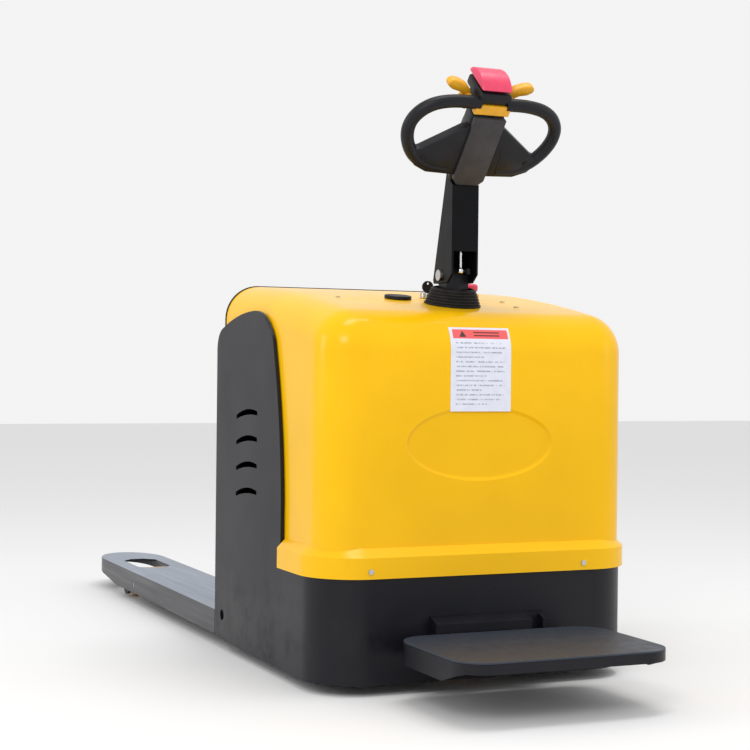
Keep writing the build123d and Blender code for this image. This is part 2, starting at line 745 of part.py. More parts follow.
def head_shell():
    """Two looped grips, the wings between them, the hub and its nose."""
    outline = Pos(0, grip_rise) * SlotCenterToCenter(2 * grip_centre, 2 * grip_radius)
    t0, t1 = grip_middle - grip_thick / 2, grip_middle + grip_thick / 2
    grips = head_prism(outline, t0, t1)
    grips = fillet([e for e in grips.edges() if e.length > 60], grip_thick / 2 - 2)
    opening = handle_half()
    window = head_prism(opening, t0 - 1, t1 + 1)
    for cut in both(window):
        grips -= cut
    hub = head_block(-hub_half, hub_half, seat, band_low - seat, 9, 62)
    hub += head_block(-hub_half + 4, hub_half - 4, band_low - 2, nose_low + 2, 18, 76)
    nose = head_block(-hub_half + 3, hub_half - 3, nose_low, nose_high, 6, 92)
    body = grips + hub + nose
    body -= head_block(-37, 37, -2, 170 + seat, -20, 9)
    body -= head_block(-hub_half - seat, hub_half + seat, band_low - seat, nose_low, -20, 18)
    body -= head_block(-26, 26, nose_high - 14, nose_high + 1, 22, 82)
    body -= head_drum(6 + fit, -60, 60, throttle_rise - 8, throttle_depth)
    for x, s in button_places:
        body -= head_block(x - 7.2, x + 7.2, s - 10.2, s + 10.2, 52, 70)
    return body


def head_cover():
    """Lower centre cover of the head."""
    cover = head_block(-36.7, 36.7, 1, 170, -4, 9 - seat)
    edges = [e for e in cover.edges() if head_plane.to_local_coords(e.center()).Z > 3.9]
    return fillet(edges, 3)


def head_band():
    """Yellow trim band under the nose."""
    band = head_block(-hub_half, hub_half, band_low, nose_low - seat, 3, 18 - seat)
    return fillet(along_head(band), 3)


def along_head(shape):
    """Edges of a head piece that run across it on its lower face."""
    return [e for e in shape.edges() if head_plane.to_local_coords(e.center()).Z > -3.1
            and abs(e.tangent_at(0.5).X) > 0.9]


def belly_button():
    """Domed safety button on the end of the head, with its guide inside the nose."""
    low, high, crown = nose_high + 8.0, nose_high + 14.0, nose_high + 24.0
    face = make_face([Line((12, nose_high + seat + 6), (12, low)),
                      ThreePointArc((12, low), (50, crown), (91, high)),
                      Line((91, high), (91, nose_high + seat + 6)),
                      Line((91, nose_high + seat + 6), (12, nose_high + seat + 6))])
    turned = Plane(origin=(0, 0, 0), x_dir=(0, 0, -1), z_dir=(1, 0, 0)) * face
    cap = head_plane * Pos(-35, 0, 0) * extrude(turned, 70)
    cap = fillet(cap.edges().filter_by(GeomType.CIRCLE), 5)
    return cap + head_block(-25.9, 25.9, nose_high - 6, nose_high + 9, 22.1, 81.9)


def throttle_paddles():
    """Left and right thumb paddles."""
    x0, x1, s, t = hub_half + 0.5, hub_half + 13, throttle_rise - 8, throttle_depth
    disc = head_drum(17, x0, x1, s, t) - head_drum(6, x0 - 1, x1 + 1, s, t)
    blade = make_face([Line((x1 - 1, s + 6), (92, s + 14)), ThreePointArc((92, s + 14), (101, s + 25), (90, s + 34)),
                       Line((90, s + 34), (x1 - 1, s + 24)), Line((x1 - 1, s + 24), (x1 - 1, s + 6))])
    wing = head_prism(blade, t - 5, t + 5)
    web = head_block(x0, x1, s + 2, s + 24, t - 5, t + 5) - head_drum(6, x0 - 1, x1 + 1, s, t)
    return both(disc + web + wing)


def throttle_shaft():
    """Shaft that joins the paddles through the head."""
    return head_drum(6, -hub_half - 11, hub_half + 11, throttle_rise - 8, throttle_depth)


def thumb_button(x, s):
    """A square thumb button in the upper face of the head."""
    cap = head_block(x - 7.1, x + 7.1, s - 10.1, s + 10.1, 56, 67)
    edges = [e for e in cap.edges() if head_plane.to_local_coords(e.center()).Z < -66.9]
    return fillet(edges, 2)


# ---------------------------------------------------------------- casters
def right_caster_fork():
    """Swivelling fork of a caster with its plate, stem and axle."""
    x, y, top = caster_x, caster_y + caster_trail, caster_plate - seat
    fork = drum(30, 8, x, caster_y, top - 8)
    fork += block(x - 26, x + 26, caster_y - 20, y + 14, top - 14, top - 7)
    for x0 in (x - 26, x + 20):
        leg = block(x0, x0 + 6, y - 13, y + 13, caster_radius, top - 8)
        fork += leg + drum(13, 6, x0, y, caster_radius, Axis.X)
    return fork + drum(5, 50, x - 25, y, caster_radius, Axis.X)


def right_caster_wheel():
    """Caster wheel."""
    wheel = tube(caster_radius, 5 + fit, 38, caster_x - 19, caster_y + caster_trail, caster_radius, Axis.X)
    rim = [e for e in wheel.edges().filter_by(GeomType.CIRCLE) if e.radius > caster_radius - 1]
    return fillet(rim, 4)


# ---------------------------------------------------------------- fork carriage and linkage
fork_x = side - fork_width / 2      # middle of each fork
window_width = 95.0
window_length = 214.0
window_y = 1602.0
window_chamfer = 28.0
tip_rise = 30.0             # how far the underside of a tip rises
carriage_gap = 0.6          # between the carriage and the side plates
guide_y = 1000.0            # guide of the push rod
tower_top = 590.0
tower_y = 654.0
tower_thick = 10.0
crank_y, crank_z, crank_radius = 712.0, 42.0, 13.0
lever_length, lever_tip, lever_back = 30.0, 8.0, 18.2
push_radius = 6.0
push_gap = 2.0
push_z = crank_z + lever_length * cos(radians(lever_back)) + 0.5
horn_radius, horn_tip, horn_angle = 22.4, 5.0, 145.0
pivot_radius = 8.0          # rocker pivots and roller axles
rocker_half = 73.0          # outside of the rocker cheeks
panel_bottom = 570.0


def fork_plan(inset):
    """Plan of the right fork: straight sides and a long rounded tip."""
    half, start = fork_width / 2 - inset, tower_y + inset
    tip = EllipticalCenterArc((fork_x, fork_tip - fork_tip_length), half, fork_tip_length - inset,
                              start_angle=0, arc_size=180)
    left, right = (fork_x - half, start), (fork_x + half, start)
    return make_face([tip, Line(tip @ 1, left), Line(left, right), Line(right, tip @ 0)])


def right_fork():
    """Right fork: a downward channel with a window over the load roller."""
    half, low = fork_width / 2, fork_top - fork_depth
    body = Pos(0, 0, low) * extrude(fork_plan(0), fork_depth)
    body -= Pos(0, 0, low - 1) * extrude(fork_plan(fork_wall), fork_depth - fork_wall + 1)
    wedge = polygon((window_y, low), (fork_tip + 1, low + tip_rise), (fork_tip + 1, low - 1),
                    (window_y, low - 1))
    body -= side_prism(wedge, fork_x - half - 1, side + 1)
    window = block(fork_x - window_width / 2, fork_x + window_width / 2, window_y - window_length / 2,
                   window_y + window_length / 2, fork_top - fork_wall - 1, fork_top + 1)
    body -= chamfer(along(window, Axis.Z), window_chamfer)
    web = side - plate - carriage_gap
    seam = plate_front + fork_seam
    body -= block(web, side + 1, tower_y - 1, seam, low - 1, fork_top + 1)
    body += block(web - fork_wall, web, tower_y, seam + fork_wall, low, fork_top - 1)
    body += block(fork_x - 14, fork_x + 14, guide_y, guide_y + 12, push_z - 12, fork_top - fork_wall + 1)
    body -= drum(push_radius + fit, 14, fork_x, guide_y - 1, push_z, Axis.Y)
    body -= drum(pivot_radius + fit, 2 * half + 4, fork_x - half - 2, rocker_y, rocker_z, Axis.X)
    return body - drum(crank_radius + fit, 2 * half - 2, fork_x - half - 1, crank_y, crank_z, Axis.X)


def fork_carriage():
    """Forks, tower and lifting shelf, welded into one piece."""
    half = side - plate - carriage_gap
    tower = block(-half, half, tower_y, tower_y + tower_thick, fork_top - 2, tower_top)
    shelf = block(-60, 60, cylinder_y - 25, tower_y + 1, shelf_z + seat, shelf_z + 20)
    for cheek in both(block(52, 60, cylinder_y - 25, tower_y + 1, shelf_z + 20, shelf_z + 32)):
        shelf += cheek
    right, left = both(right_fork())
    return tower + shelf + right + left


def crank_shaft():
    """Torsion shaft between the forks, with a lever in each fork."""
    reach = side - 4
    tip_y = crank_y - lever_length * sin(radians(lever_back))
    tip_z = crank_z + lever_length * cos(radians(lever_back))
    lever = drum(lever_tip, 16, fork_x - 8, tip_y, tip_z, Axis.X)
    middle = Pos(fork_x, (crank_y + tip_y) / 2, (crank_z + tip_z) / 2)
    lever += middle * Rot(lever_back, 0, 0) * Box(16, 9, lever_length)
    right, left = both(lever)
    return drum(crank_radius, 2 * reach, -reach, crank_y, crank_z, Axis.X) + right + left


def push_rods():
    """One rod along each fork, from the lever to the rocker."""
    start = crank_y - lever_length * sin(radians(lever_back)) + lever_tip + push_gap
    stop = rocker_y + horn_radius * cos(radians(horn_angle)) - horn_tip - push_gap
    return both(drum(push_radius, stop - start, fork_x, start, push_z, Axis.Y))


def right_rocker():
    """Rocker that carries the load roller, with a horn for the push rod."""
    run, thick = hypot(roller_y - rocker_y, rocker_z - roller_radius), 8.0
    lean = degrees(atan2(roller_radius - rocker_z, roller_y - rocker_y))
    body = drum(12, 2 * rocker_half - 2, fork_x - rocker_half + 1, rocker_y, rocker_z, Axis.X)
    for x0 in (fork_x - rocker_half, fork_x + rocker_half - thick):
        cheek = drum(22, thick, x0, rocker_y, rocker_z, Axis.X)
        cheek += drum(34, thick, x0, roller_y, roller_radius, Axis.X)
        bar = Pos(x0 + thick / 2, (rocker_y + roller_y) / 2, (rocker_z + roller_radius) / 2)
        cheek += bar * Rot(lean, 0, 0) * Box(thick, run, 36)
        body += cheek - drum(pivot_radius + fit, thick + 2, x0 - 1, roller_y, roller_radius, Axis.X)
    horn_y = rocker_y + horn_radius * cos(radians(horn_angle))
    horn_z = rocker_z + horn_radius * sin(radians(horn_angle))
    body += drum(horn_tip, 20, fork_x - 10, horn_y, horn_z, Axis.X)
    middle = Pos(fork_x, (rocker_y + horn_y) / 2, (rocker_z + horn_z) / 2)
    body += middle * Rot(horn_angle - 180, 0, 0) * Box(20, horn_radius, 10)
    return body - drum(pivot_radius + fit, 2 * rocker_half + 4, fork_x - rocker_half - 2,
                       rocker_y, rocker_z, Axis.X)


def right_roller():
    """Load roller."""
    roller = tube(roller_radius, pivot_radius + fit, roller_width, fork_x - roller_width / 2,
                  roller_y, roller_radius, Axis.X)
    rim = [e for e in roller.edges().filter_by(GeomType.CIRCLE) if e.radius > roller_radius - 1]
    return fillet(rim, 3)


def right_axle():
    """Axle of a load roller with a spacer at each end."""
    axle = drum(pivot_radius, 2 * rocker_half, fork_x - rocker_half, roller_y, roller_radius, Axis.X)
    spacer = rocker_half - 8 - roller_width / 2 - 2 * seat
    for x0 in (fork_x - roller_width / 2 - seat - spacer, fork_x + roller_width / 2 + seat):
        axle += drum(13, spacer, x0, roller_y, roller_radius, Axis.X)
    return axle


def rocker_pins():
    """Pivot pins of the rockers, across the forks."""
    length = fork_width - 2.0
    return both(drum(pivot_radius, length, fork_x - length / 2, rocker_y, rocker_z, Axis.X))


# ---------------------------------------------------------------- write the nodes
os.makedirs("parts", exist_ok=True)

for piece in (chassis_frame, front_panel, hood, hood_screws, instruction_card, charge_gauge, key_switch,
              ignition_key, stop_base, stop_knob, tiller_boot, battery_tray, battery_cells,
              motor_controller, pump_motor, hydraulic_tank, lift_cylinder, lift_rod, hydraulic_hose,
              pedal_bracket, pedal_pin, pedal_bumpers, pedal_tray, pedal_mat, slew_ring_outer,
              slew_ring_inner, gearbox, drive_motor, magnetic_brake, drive_hub, drive_tyre, wheel_nuts,
              steering_column, tiller_pin, tiller_arm, gas_spring_rod, gas_spring_tube, head_shell,
              head_cover, head_band, belly_button, throttle_paddles, throttle_shaft, fork_carriage,
              crank_shaft, push_rods, rocker_pins):
    shape = piece()
    save(piece.__name__, *(shape if isinstance(shape, list) else [shape]))

for name, piece in (("caster_fork", right_caster_fork), ("caster_wheel", right_caster_wheel),
                    ("rocker", right_rocker), ("load_roller", right_roller), ("roller_axle", right_axle)):
    right, left = both(piece())
    save(name + "_right", right)
    save(name + "_left", left)

for name, (x, s) in zip(("lift_button", "lower_button", "horn_button"), button_places):
    save(name, thumb_button(x, s))
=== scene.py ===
import json
import math

import bmesh
import bpy
from bpy.props import FloatProperty, FloatVectorProperty, IntProperty, PointerProperty
from mathutils import Matrix, Vector

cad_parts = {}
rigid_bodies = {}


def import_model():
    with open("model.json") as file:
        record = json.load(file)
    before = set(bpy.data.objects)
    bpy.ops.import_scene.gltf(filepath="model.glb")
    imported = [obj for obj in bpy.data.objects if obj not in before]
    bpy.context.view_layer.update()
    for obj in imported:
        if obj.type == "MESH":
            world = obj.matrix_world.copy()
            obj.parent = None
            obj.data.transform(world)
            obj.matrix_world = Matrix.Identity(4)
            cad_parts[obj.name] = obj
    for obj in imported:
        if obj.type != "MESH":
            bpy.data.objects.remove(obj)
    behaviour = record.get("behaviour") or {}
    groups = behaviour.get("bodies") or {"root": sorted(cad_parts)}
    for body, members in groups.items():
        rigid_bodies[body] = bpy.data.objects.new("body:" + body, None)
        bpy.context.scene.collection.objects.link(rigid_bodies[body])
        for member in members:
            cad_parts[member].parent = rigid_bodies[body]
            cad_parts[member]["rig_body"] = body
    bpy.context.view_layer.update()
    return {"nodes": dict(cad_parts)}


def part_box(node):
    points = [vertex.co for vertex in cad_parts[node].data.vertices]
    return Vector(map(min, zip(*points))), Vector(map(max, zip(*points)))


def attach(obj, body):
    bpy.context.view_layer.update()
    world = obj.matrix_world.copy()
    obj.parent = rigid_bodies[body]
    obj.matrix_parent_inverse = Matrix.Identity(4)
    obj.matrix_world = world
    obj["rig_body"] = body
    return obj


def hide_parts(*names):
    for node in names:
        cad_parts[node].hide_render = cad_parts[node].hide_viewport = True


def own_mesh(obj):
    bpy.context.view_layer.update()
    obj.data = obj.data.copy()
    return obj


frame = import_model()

bl_info = {
    "name": "Pallet truck",
    "version": (1, 0, 0),
    "blender": (4, 5, 0),
    "location": "3D View > Sidebar > Truck",
    "description": "Paints and details an electric pallet truck",
    "category": "Object",
}

NODES = frame["nodes"]
MIDDLE_Y = 0.764        # what the frame takes off the Y of the part's own source, in metres


# ---------------------------------------------------------------- settings
def tint(name, description, r, g, b):
    """A colour that a user may change."""
    return FloatVectorProperty(name=name, description=description, subtype="COLOR", size=3,
                               min=0.0, max=1.0, default=(r, g, b))


def length(name, description, default):
    """A length that a user may change, in metres."""
    return FloatProperty(name=name, description=description, unit="LENGTH", precision=4,
                         min=0.0, default=default)


class TruckColours(bpy.types.PropertyGroup):
    """Colours of the truck's finishes."""
    hood: tint("Hood", "Moulded hood", 0.86, 0.475, 0.0015)
    trim: tint("Trim", "Throttle paddles and trim band", 0.74, 0.36, 0.008)
    black: tint("Body paint", "Powder coat on the chassis and the side plates", 0.0048, 0.0050, 0.0085)
    fork: tint("Fork paint", "Paint on the sides of the forks", 0.010, 0.011, 0.015)
    # painted light: a pale blue grey sheen painted on the up-facing tops of the forks, as if lit from above
    fork_top_sheen: tint("Fork tops", "Rubbed paint on the tops of the forks", 0.170, 0.205, 0.270)
    grip: tint("Grips", "Grained plastic of the tiller head", 0.007, 0.0075, 0.010)
    cover: tint("Head cover", "Grey cover under the tiller head", 0.040, 0.038, 0.040)
    red: tint("Red", "Safety buttons", 0.70, 0.045, 0.115)
    rubber: tint("Rubber", "Boot, tyres of the casters and pads", 0.008, 0.0075, 0.008)
    mat: tint("Mat", "Rubber mat on the pedal", 0.034, 0.043, 0.062)
    urethane: tint("Polyurethane", "Load rollers and drive tyre", 0.62, 0.33, 0.11)
    card: tint("Card", "Instruction card", 0.70, 0.72, 0.82)


class TruckSizes(bpy.types.PropertyGroup):
    """Sizes of the added detail."""
    edge: length("Edge radius", "Rounding of sheet metal edges", 0.0012)
    moulded_edge: length("Moulded edge", "Rounding of moulded edges", 0.0018)
    grip: length("Grip radius", "Radius of the handle grips", 0.014)
    boot_rings: IntProperty(name="Boot rings", description="Folds of the tiller boot", default=6, min=3,
                            max=12)


class TruckStage(bpy.types.PropertyGroup):
    """Light and floor."""
    key: FloatProperty(name="Key light", description="Power of the main soft light", default=46.0, min=0.0)
    fill: FloatProperty(name="Fill light", description="Power of the fill light", default=10.0, min=0.0)
    top: FloatProperty(name="Top light", description="Power of the light overhead", default=44.0, min=0.0)
    side: FloatProperty(name="Side light", description="Power of the light on the left", default=30.0,
                        min=0.0)
    sky: FloatProperty(name="Surroundings", description="Strength of the pale surroundings", default=0.90,
                       min=0.0)
    floor: tint("Floor", "Pale studio floor", 0.80, 0.80, 0.80)


# ---------------------------------------------------------------- shader sums
class Wire:
    """A number or vector inside a material, usable in plain arithmetic."""

    def __init__(self, paint, socket):
        self.paint = paint
        self.socket = socket

    def math(self, operation, *inputs):
        return self.paint.node("ShaderNodeMath", {"operation": operation}, dict(enumerate(inputs)))

    def __add__(self, other):
        return self.math("ADD", self, other)

    def __radd__(self, other):
        return self.math("ADD", other, self)

    def __sub__(self, other):
        return self.math("SUBTRACT", self, other)

    def __rsub__(self, other):
        return self.math("SUBTRACT", other, self)

    def __mul__(self, other):
        return self.math("MULTIPLY", self, other)

    def __rmul__(self, other):
        return self.math("MULTIPLY", other, self)

    def __truediv__(self, other):
        return self.math("DIVIDE", self, other)

    def __lt__(self, other):
        return self.math("LESS_THAN", self, other)

    def __gt__(self, other):
        return self.math("GREATER_THAN", self, other)


class Paint:
    """One material under construction."""

    def __init__(self, name):
        self.material = bpy.data.materials.new(name)
        self.material.use_nodes = True
        self.tree = self.material.node_tree
        self.shader = next(n for n in self.tree.nodes if n.type == "BSDF_PRINCIPLED")

    def node(self, kind, settings=None, inputs=None, output=0):
        """Any node: its settings first, then the values or links of its sockets."""
        made = self.tree.nodes.new(kind)
        for key, value in (settings or {}).items():
            if key == "stops":
                ramp = made.color_ramp
                while len(ramp.elements) < len(value):
                    ramp.elements.new(0.5)
                for stop, (place, colour) in zip(ramp.elements, value):
                    stop.position = place
                    stop.color = (*colour, 1.0)
            else:
                setattr(made, key, value)
        for key, value in (inputs or {}).items():
            socket = made.inputs[key]
            if isinstance(value, Wire):
                self.tree.links.new(value.socket, socket)
            else:
                socket.default_value = value
        return Wire(self, made.outputs[output])

    def place(self):
        """Object coordinates, in metres."""
        return self.node("ShaderNodeTexCoord", output="Object")

    def axes(self):
        """X, Y and Z of the surface point."""
        split = self.node("ShaderNodeSeparateXYZ", inputs={0: self.place()})
        outputs = split.socket.node.outputs
        return [Wire(self, outputs[i]) for i in range(3)]

    def stretched(self, x, y, z):
        """Object coordinates with each axis scaled by itself."""
        return self.node("ShaderNodeMapping", {"vector_type": "POINT"},
                         {"Vector": self.place(), "Scale": (x, y, z)})

    def noise(self, scale, detail=3.0, roughness=0.5, vector=None):
        """Cloudy noise, `scale` features to the metre."""
        return self.node("ShaderNodeTexNoise", inputs={
            "Vector": vector or self.place(), "Scale": scale, "Detail": detail, "Roughness": roughness})

    def grain(self, scale, randomness=1.0):
        """Distance to the nearest point of a scattered grain."""
        return self.node("ShaderNodeTexVoronoi", inputs={
            "Vector": self.place(), "Scale": scale, "Randomness": randomness})

    def span(self, value, low, high, out_low=0.0, out_high=1.0):
        """A value stretched from one range to another and held at its ends."""
        return self.node("ShaderNodeMapRange", {"clamp": True}, {
            "Value": value, "From Min": low, "From Max": high, "To Min": out_low, "To Max": out_high})

    def blend(self, factor, first, second):
        """A colour between two colours."""
        def full(colour):
            return colour if isinstance(colour, Wire) else (*colour, 1.0)
        mixed = self.node("ShaderNodeMix", {"data_type": "RGBA"}, {"Factor": factor})
        made = mixed.socket.node
        sockets = [s for s in made.inputs if s.type == "RGBA"]
        for socket, colour in zip(sockets, (full(first), full(second))):
            if isinstance(colour, Wire):
                self.tree.links.new(colour.socket, socket)
            else:
                socket.default_value = colour
        return Wire(self, next(s for s in made.outputs if s.type == "RGBA"))

    def relief(self, height, distance, strength=1.0, under=None):
        """A bump of a given height in metres."""
        inputs = {"Height": height, "Distance": distance, "Strength": strength}
        if under:
            inputs["Normal"] = under
        return self.node("ShaderNodeBump", inputs=inputs)

    def finish(self, **sockets):
        """Set or link the sockets of the surface shader."""
        for key, value in sockets.items():
            socket = self.shader.inputs[key.replace("_", " ").title().replace("Ior", "IOR")]
            if isinstance(value, Wire):
                self.tree.links.new(value.socket, socket)
            elif socket.type == "RGBA":
                socket.default_value = (*value, 1.0)
            else:
                socket.default_value = value
        return self.material


def shade(colour, factor):
    """A colour made lighter or darker."""
    return tuple(min(1.0, c * factor) for c in colour)


# ---------------------------------------------------------------- finishes
def hood_gloss(c):
    """Glossy moulded plastic with a faint wave, scuffed low down."""
    p = Paint("hood_gloss")
    height = p.axes()[2]
    cloud = p.noise(5.0, 3.0)
    peel = p.noise(230.0, 2.0)
    wave = p.noise(7.0, 1.0)
    scuff = p.noise(60.0, 6.0, 0.7, p.stretched(1.0, 1.0, 0.18))
    marks = p.span(scuff, 0.66, 0.74) * p.span(height, 0.42, 0.24)
    tone = p.blend(p.span(cloud, 0.3, 0.7), shade(c.hood, 0.96), shade(c.hood, 1.04))
    tone = p.blend(marks * 0.35, tone, shade(c.hood, 0.62))
    rough = p.span(cloud, 0.2, 0.8, 0.20, 0.30) + marks * 0.2
    bump = p.relief(peel, 0.0002, 0.16, p.relief(wave, 0.004, 0.10))
    return p.finish(base_color=tone, roughness=rough, specular_ior_level=0.16, coat_weight=0.10,
                    coat_roughness=0.05, normal=bump)


def body_paint(c):
    """Powder coat, dusty and chipped towards the floor."""
    p = Paint("body_paint")
    height = p.axes()[2]
    peel = p.noise(420.0, 3.0)
    cloud = p.noise(4.0, 4.0)
    dust = p.span(height, 0.30, 0.02) * p.span(p.noise(18.0, 6.0, 0.65), 0.46, 0.78)
    chips = p.span(p.noise(95.0, 5.0, 0.7), 0.70, 0.74) * p.span(height, 0.34, 0.03)
    tone = p.blend(p.span(cloud, 0.3, 0.7), shade(c.black, 0.85), shade(c.black, 1.15))
    tone = p.blend(dust * 0.07, tone, (0.10, 0.09, 0.08))
    tone = p.blend(chips * 0.30, tone, (0.12, 0.115, 0.11))
    rough = p.span(cloud, 0.25, 0.75, 0.34, 0.46) + dust * 0.2
    return p.finish(base_color=tone, roughness=rough, specular_ior_level=0.26,
                    normal=p.relief(peel, 0.0003, 0.22))


def fork_paint(c):
    """Dark paint with scrape streaks, its up-facing tops painted a pale blue grey as painted light from
    above.
    """
    p = Paint("fork_paint")
    streak = p.noise(60.0, 5.0, 0.6, p.stretched(1.0, 0.035, 1.0))
    peel = p.noise(380.0, 2.0)
    cloud = p.noise(6.0, 4.0)
    normal = p.node("ShaderNodeNewGeometry", output="Normal")
    up = p.node("ShaderNodeSeparateXYZ", inputs={0: normal}, output=2)
    scrape = p.span(streak, 0.60, 0.70) * p.span(p.noise(3.0, 3.0), 0.40, 0.62)
    side = p.blend(p.span(cloud, 0.3, 0.7), shade(c.fork, 0.8), shade(c.fork, 1.2))
    top = p.blend(p.span(cloud, 0.3, 0.7), shade(c.fork_top_sheen, 0.90), shade(c.fork_top_sheen, 1.08))
    # painted light: faces turned upwards take the paler top colour, a painted sheen of light from above
    tone = p.blend(p.span(up, 0.55, 0.90), side, top)
    tone = p.blend(scrape * 0.30, tone, (0.20, 0.21, 0.23))
    rough = p.span(streak, 0.3, 0.7, 0.28, 0.42)
    bump = p.relief(streak, 0.0003, 0.20, p.relief(peel, 0.0002, 0.20))
    return p.finish(base_color=tone, roughness=rough, normal=bump)


def grained(name, colour, roughness, scale=900.0, depth=0.00025, gloss=0.26):
    """Plastic with a pebbled grain, rubbed in places."""
    p = Paint(name)
    cells = p.grain(scale)
    cloud = p.noise(30.0, 4.0)
    rub = p.span(p.noise(55.0, 5.0, 0.65), 0.56, 0.72)
    tone = p.blend(p.span(cloud, 0.3, 0.7), shade(colour, 0.86), shade(colour, 1.16))
    tone = p.blend(rub * 0.20, tone, shade(colour, 1.9))
    rough = p.span(cloud, 0.3, 0.7, roughness + 0.05, roughness - 0.04) - rub * 0.06
    return p.finish(base_color=tone, roughness=rough, specular_ior_level=gloss,
                    normal=p.relief(cells, depth, 0.35))


def rubber(name, colour, dust=0.25, roughness=0.62):
    """Rubber with a dusty bloom."""
    p = Paint(name)
    fine = p.noise(700.0, 3.0)
    cloud = p.noise(24.0, 5.0, 0.6)
    bloom = p.span(cloud, 0.44, 0.70)
    tone = p.blend(bloom * dust, shade(colour, 0.9), (0.10, 0.095, 0.088))
    rough = p.span(cloud, 0.3, 0.7, roughness - 0.06, roughness + 0.10)
    return p.finish(base_color=tone, roughness=rough, specular_ior_level=0.28,
                    normal=p.relief(fine, 0.0003, 0.30))


def moulded(name, colour, roughness):
    """Plain moulded plastic."""
    p = Paint(name)
    fine = p.noise(520.0, 2.0)
    cloud = p.noise(40.0, 4.0)
    tone = p.blend(p.span(cloud, 0.3, 0.7), shade(colour, 0.90), shade(colour, 1.08))
    rough = p.span(cloud, 0.3, 0.7, roughness - 0.04, roughness + 0.07)
    return p.finish(base_color=tone, roughness=rough, normal=p.relief(fine, 0.0002, 0.20))


def metal(name, colour, roughness, brush=(1.0, 1.0, 1.0), scale=500.0, dirt=0.2):
    """Bare metal with fine lines and grime."""
    p = Paint(name)
    lines = p.noise(scale, 3.0, 0.6, p.stretched(*brush))
    cloud = p.noise(28.0, 5.0, 0.6)
    grime = p.span(cloud, 0.50, 0.72)
    tone = p.blend(grime * dirt, shade(colour, 1.0), (0.08, 0.065, 0.05))
    rough = p.span(lines, 0.3, 0.7, roughness - 0.06, roughness + 0.10) + grime * 0.15
    return p.finish(base_color=tone, metallic=1.0, roughness=rough, normal=p.relief(lines, 0.0001, 0.25))


def enamel(name, colour, roughness):
    """Thick paint on a cast surface."""
    p = Paint(name)
    cloud = p.noise(20.0, 5.0, 0.6)
    pits = p.noise(260.0, 4.0)
    tone = p.blend(p.span(cloud, 0.45, 0.72) * 0.4, colour, shade(colour, 1.9))
    rough = p.span(cloud, 0.3, 0.7, roughness, roughness + 0.15)
    return p.finish(base_color=tone, roughness=rough, normal=p.relief(pits, 0.0008, 0.35))


def urethane(c):
    """Wheel plastic with turning lines and dirt."""
    p = Paint("urethane")
    cloud = p.noise(34.0, 4.0)
    ring = p.noise(180.0, 3.0, 0.5, p.stretched(1.0, 0.08, 0.08))
    dirt = p.span(p.noise(60.0, 6.0, 0.7), 0.48, 0.70)
    tone = p.blend(p.span(cloud, 0.3, 0.7), shade(c.urethane, 0.85), shade(c.urethane, 1.1))
    tone = p.blend(dirt * 0.35, tone, (0.16, 0.10, 0.06))
    rough = p.span(cloud, 0.3, 0.7, 0.34, 0.50)
    return p.finish(base_color=tone, roughness=rough, normal=p.relief(ring, 0.0003, 0.3))


CARD_BEND_Z, CARD_CENTRE_Y, CARD_RADIUS, CARD_BEND = 0.700, 0.102 - MIDDLE_Y, 0.090, math.radians(35.0)
HEADER_TOP, HEADER_FOOT, HEADER_LEFT, HEADER_RIGHT = 0.005, 0.026, 0.007, 0.005
TITLES, TITLE_ENDS = ((0.0105, 0.0135), (0.0175, 0.0205)), (0.056, 0.116)
TRIANGLE_X, TRIANGLE_FOOT, TRIANGLE_TALL, TRIANGLE_SLOPE = 0.030, 0.0225, 0.0145, 1.73
BAR_START, BAR_PITCH, BAR_TALL, BAR_LEFT, BAR_MARGIN = 0.034, 0.0098, 0.0030, 0.012, 0.022
BAR_SHARES = (0.92, 0.97, 0.90, 0.55, 0.95, 0.93, 0.97, 0.60, 0.91, 0.96, 0.52, 0.94, 0.88, 0.62)


def within(value, low, high):
    """One where a value lies between two numbers."""
    return (value > low) * (value < high)


def printed_card(c):
    """Pale card with a red header, a plain warning triangle and ruled bars."""
    p = Paint("printed_card")
    x, y, z = p.axes()
    low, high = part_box("instruction_card")
    middle = (low.x + high.x) / 2
    width = high.x - low.x
    angle = p.node("ShaderNodeMath", {"operation": "ARCTAN2"}, {0: z - CARD_BEND_Z, 1: CARD_CENTRE_Y - y})
    flat = z - CARD_BEND_Z
    curved = angle * CARD_RADIUS
    above = z > CARD_BEND_Z
    down = CARD_RADIUS * CARD_BEND - (curved * above + flat * (1 - above))
    across = x - (middle - width / 2)
    header = within(down, HEADER_TOP, HEADER_FOOT) * within(across, HEADER_LEFT, width - HEADER_RIGHT)
    bars = None
    for i, share in enumerate(BAR_SHARES):
        start = BAR_START + i * BAR_PITCH
        bar = (within(down, start, start + BAR_TALL)
               * within(across, BAR_LEFT, BAR_LEFT + (width - BAR_MARGIN) * share))
        bars = bar if bars is None else bars + bar
    broken = p.span(p.noise(420.0, 2.0, 0.5, p.stretched(1.0, 0.3, 0.3)), 0.44, 0.50)
    tri_x = (across - TRIANGLE_X) * TRIANGLE_SLOPE
    tri_y = TRIANGLE_FOOT - down
    triangle = (tri_y > 0.0) * ((tri_y + tri_x) < TRIANGLE_TALL) * ((tri_y - tri_x) < TRIANGLE_TALL)
    title = (within(down, *TITLES[0]) + within(down, *TITLES[1])) * within(across, *TITLE_ENDS)
    tone = p.blend(p.span(p.noise(60.0, 3.0), 0.3, 0.7), shade(c.card, 0.95), shade(c.card, 1.03))
    tone = p.blend(header, tone, (0.80, 0.10, 0.10))
    tone = p.blend(bars * broken * 0.62, tone, (0.10, 0.10, 0.14))
    tone = p.blend(triangle, tone, (0.05, 0.02, 0.02))
    tone = p.blend(title * header, tone, (0.10, 0.01, 0.01))
    return p.finish(base_color=tone, roughness=0.30, coat_weight=0.4, coat_roughness=0.1)


